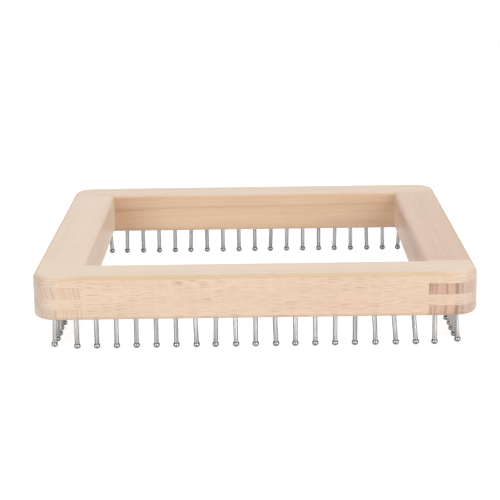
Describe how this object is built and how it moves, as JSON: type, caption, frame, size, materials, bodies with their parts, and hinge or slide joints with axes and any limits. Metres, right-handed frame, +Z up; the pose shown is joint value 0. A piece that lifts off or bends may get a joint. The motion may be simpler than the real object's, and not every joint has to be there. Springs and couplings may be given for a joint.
{
  "type": "knitting board",
  "caption": "Square box-jointed wooden frame with an open middle and a row of ball-ended steel pins under each rail, standing on its pins.",
  "frame": {"origin": "on the floor that the pins' balls stand on, under the middle of the frame's opening", "axes": "+Z up, from the pins to the rails' top faces; +X to the right and -Y towards the front rail, the one nearest the viewer in the picture"},
  "size_m": [0.222, 0.222, 0.0397],
  "materials": {
    "beech": "satin",
    "rosy_beech": "satin",
    "pin_steel": "satin"
  },
  "bodies": {
    "root": {"front_rail": "beech", "back_rail": "beech", "left_rail": "beech", "right_rail": "rosy_beech", "front_pin_01": "pin_steel", "front_pin_02": "pin_steel", "front_pin_03": "pin_steel", "front_pin_04": "pin_steel", "front_pin_05": "pin_steel", "front_pin_06": "pin_steel", "front_pin_07": "pin_steel", "front_pin_08": "pin_steel", "front_pin_09": "pin_steel", "front_pin_10": "pin_steel", "front_pin_11": "pin_steel", "front_pin_12": "pin_steel", "front_pin_13": "pin_steel", "front_pin_14": "pin_steel", "front_pin_15": "pin_steel", "front_pin_16": "pin_steel", "front_pin_17": "pin_steel", "front_pin_18": "pin_steel", "front_pin_19": "pin_steel", "back_pin_01": "pin_steel", "back_pin_02": "pin_steel", "back_pin_03": "pin_steel", "back_pin_04": "pin_steel", "back_pin_05": "pin_steel", "back_pin_06": "pin_steel", "back_pin_07": "pin_steel", "back_pin_08": "pin_steel", "back_pin_09": "pin_steel", "back_pin_10": "pin_steel", "back_pin_11": "pin_steel", "back_pin_12": "pin_steel", "back_pin_13": "pin_steel", "back_pin_14": "pin_steel", "back_pin_15": "pin_steel", "back_pin_16": "pin_steel", "back_pin_17": "pin_steel", "back_pin_18": "pin_steel", "back_pin_19": "pin_steel", "left_pin_01": "pin_steel", "left_pin_02": "pin_steel", "left_pin_03": "pin_steel", "left_pin_04": "pin_steel", "left_pin_05": "pin_steel", "left_pin_06": "pin_steel", "left_pin_07": "pin_steel", "left_pin_08": "pin_steel", "left_pin_09": "pin_steel", "right_pin_01": "pin_steel", "right_pin_02": "pin_steel", "right_pin_03": "pin_steel", "right_pin_04": "pin_steel", "right_pin_05": "pin_steel", "right_pin_06": "pin_steel", "right_pin_07": "pin_steel", "right_pin_08": "pin_steel", "right_pin_09": "pin_steel"}
  },
  "joints": []
}
